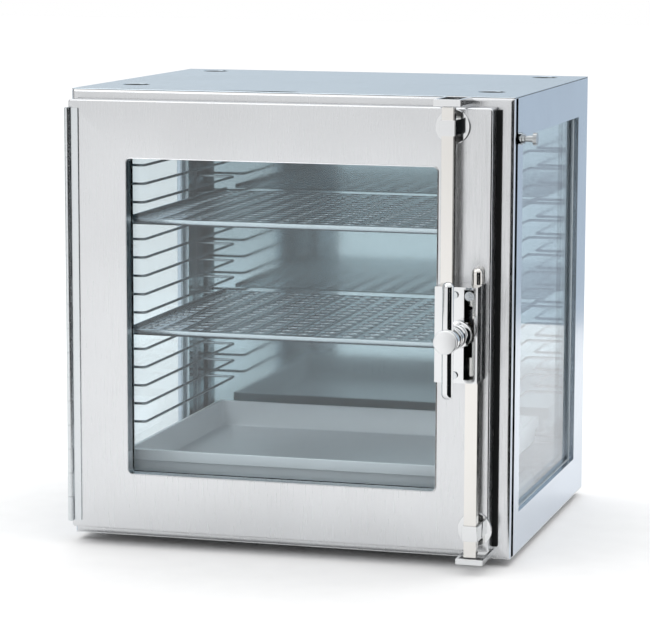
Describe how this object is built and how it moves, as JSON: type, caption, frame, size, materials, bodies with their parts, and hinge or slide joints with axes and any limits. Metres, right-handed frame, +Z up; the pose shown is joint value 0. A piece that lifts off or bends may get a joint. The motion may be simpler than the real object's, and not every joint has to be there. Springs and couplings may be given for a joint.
{
  "type": "windowed stainless chamber cabinet",
  "caption": "Bench-top stainless chamber cabinet with side windows, wire racks, shelves and a tray, closed by a side-hung windowed door with a T-handle bolt latch.",
  "frame": {"origin": "centre of the whole object's box in X and Y, on the plane the rubber feet stand on", "axes": "+Z up; -Y out of the door side; +X to the right for someone facing the door, towards the side with the valve"},
  "size_m": [0.4996, 0.519, 0.488],
  "materials": {
    "cabinet_steel": "satin stainless sheet",
    "top_steel": "satin stainless sheet with a faint blue tone",
    "liner_steel": "bright stainless liner sheet",
    "shelf_steel": "bright stainless sheet",
    "rack_wire": "bright drawn wire and strip",
    "latch_chrome": "polished",
    "bolt_steel": "ground flat bar",
    "fastener_steel": "plain stainless",
    "valve_metal": "nickel plated",
    "bush_brass": "machined",
    "window_glass": "clear",
    "seal_rubber": "matt black",
    "foot_rubber": "matt black"
  },
  "bodies": {
    "cabinet": {"front_frame": "cabinet_steel", "top_panel": "top_steel", "bottom_panel": "cabinet_steel", "back_panel": "cabinet_steel", "left_side_panel": "cabinet_steel", "right_side_panel": "cabinet_steel", "chamber_floor": "liner_steel", "chamber_ceiling": "liner_steel", "back_liner": "liner_steel", "left_liner": "liner_steel", "right_liner": "liner_steel", "left_window_pane": "window_glass", "right_window_pane": "window_glass", "left_window_gasket": "seal_rubber", "right_window_gasket": "seal_rubber", "left_rack_posts": "rack_wire", "right_rack_posts": "rack_wire", "left_rungs": "rack_wire", "right_rungs": "rack_wire", "shelf_upper": "shelf_steel", "shelf_lower": "shelf_steel", "drip_tray": "shelf_steel", "rubber_feet": "foot_rubber", "foot_screws": "fastener_steel", "hinge_body_leaf": "fastener_steel", "hinge_pin": "fastener_steel", "top_keeper": "latch_chrome", "bottom_keeper": "latch_chrome", "valve_body": "valve_metal", "valve_wall_seal": "seal_rubber", "valve_lock_nut": "valve_metal", "door_seal": "seal_rubber"},
    "valve_stem": {"valve_knob": "valve_metal"},
    "door": {"door_outer_pan": "cabinet_steel", "door_inner_pan": "cabinet_steel", "door_window_gasket": "seal_rubber", "door_window_pane": "window_glass", "door_window_retainer": "fastener_steel", "retainer_screws": "fastener_steel", "hinge_door_leaf": "fastener_steel", "latch_base_plate": "latch_chrome", "latch_cover": "latch_chrome", "latch_cover_screws": "fastener_steel", "spindle_front_bush": "bush_brass", "spindle_rear_bush": "bush_brass", "top_bar_guide": "latch_chrome", "bottom_bar_guide": "latch_chrome"},
    "handle": {"handle_spindle": "latch_chrome", "pinion": "bolt_steel", "spindle_circlip": "fastener_steel", "handle_hub": "latch_chrome", "hub_end_cap": "latch_chrome", "handle_cross_bar": "latch_chrome"},
    "upper_bolt": {"upper_bar": "bolt_steel", "upper_rack": "bolt_steel"},
    "lower_bolt": {"lower_bar": "bolt_steel", "lower_rack": "bolt_steel", "guide_screw": "fastener_steel"}
  },
  "joints": [
    {"name": "door_swing", "type": "hinge", "parent": "cabinet", "child": "door", "pos_m": [-0.24475, -0.1628, 0.248], "axis": [0, 0, -1], "range_deg": [0, 170]},
    {"name": "handle_turn", "type": "hinge", "parent": "door", "child": "handle", "pos_m": [0.18825, -0.1955, 0.2525], "axis": [0, 1, 0], "range_deg": [0, 90]},
    {"name": "upper_bolt_slide", "type": "slide", "parent": "door", "child": "upper_bolt", "axis": [0, 0, 1], "range_m": [0, 0.01257]},
    {"name": "lower_bolt_slide", "type": "slide", "parent": "door", "child": "lower_bolt", "axis": [0, 0, -1], "range_m": [0, 0.01257]},
    {"name": "valve_turn", "type": "hinge", "parent": "cabinet", "child": "valve_stem", "pos_m": [0.23925, -0.1175, 0.445], "axis": [1, 0, 0], "range_deg": [0, 270]}
  ],
  "couplings": [
    {"joint": "upper_bolt_slide", "follows": "handle_turn", "m_per_rad": 0.008},
    {"joint": "lower_bolt_slide", "follows": "handle_turn", "m_per_rad": 0.008}
  ]
}
